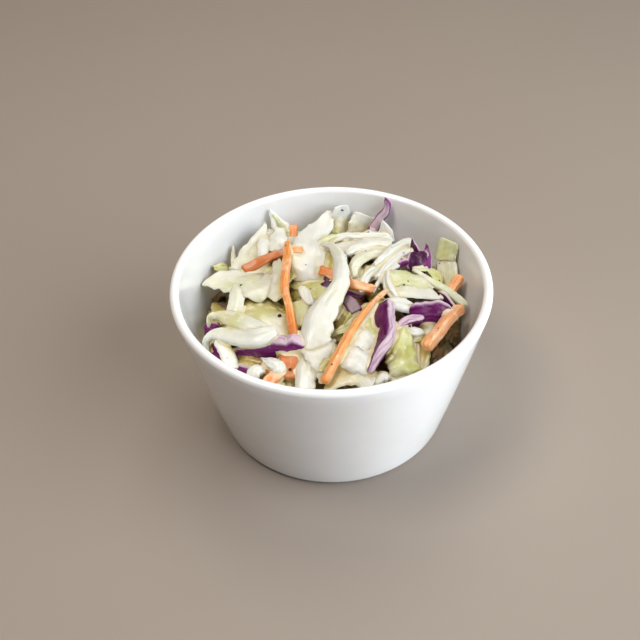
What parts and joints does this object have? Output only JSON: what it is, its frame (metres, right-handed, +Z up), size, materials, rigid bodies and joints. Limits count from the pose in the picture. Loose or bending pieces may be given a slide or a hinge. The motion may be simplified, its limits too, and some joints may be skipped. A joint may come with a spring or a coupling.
{
  "type": "coleslaw in a cup",
  "caption": "Side serving of coleslaw, a mound of dressed white, green and red cabbage shreds with carrot sticks, in a flared white porcelain cup.",
  "frame": {"origin": "middle of the foot ring, on the surface that the cup stands on", "axes": "+Z up along the cup's axis, -Y towards the side that the serving is seen from"},
  "size_m": [0.1, 0.1, 0.054],
  "materials": {
    "porcelain": "glossy white glaze",
    "dressed_cabbage": "cabbage shreds wet with creamy dressing",
    "green_cabbage": "pale green leaf shreds wet with creamy dressing",
    "red_cabbage": "purple leaf skin with lilac cut edges",
    "carrot": "cut raw carrot, wet with dressing",
    "dressing": "thin creamy dressing",
    "pepper": "ground black pepper"
  },
  "bodies": {
    "root": {"cup": "porcelain", "coleslaw": "dressed_cabbage"}
  },
  "joints": []
}
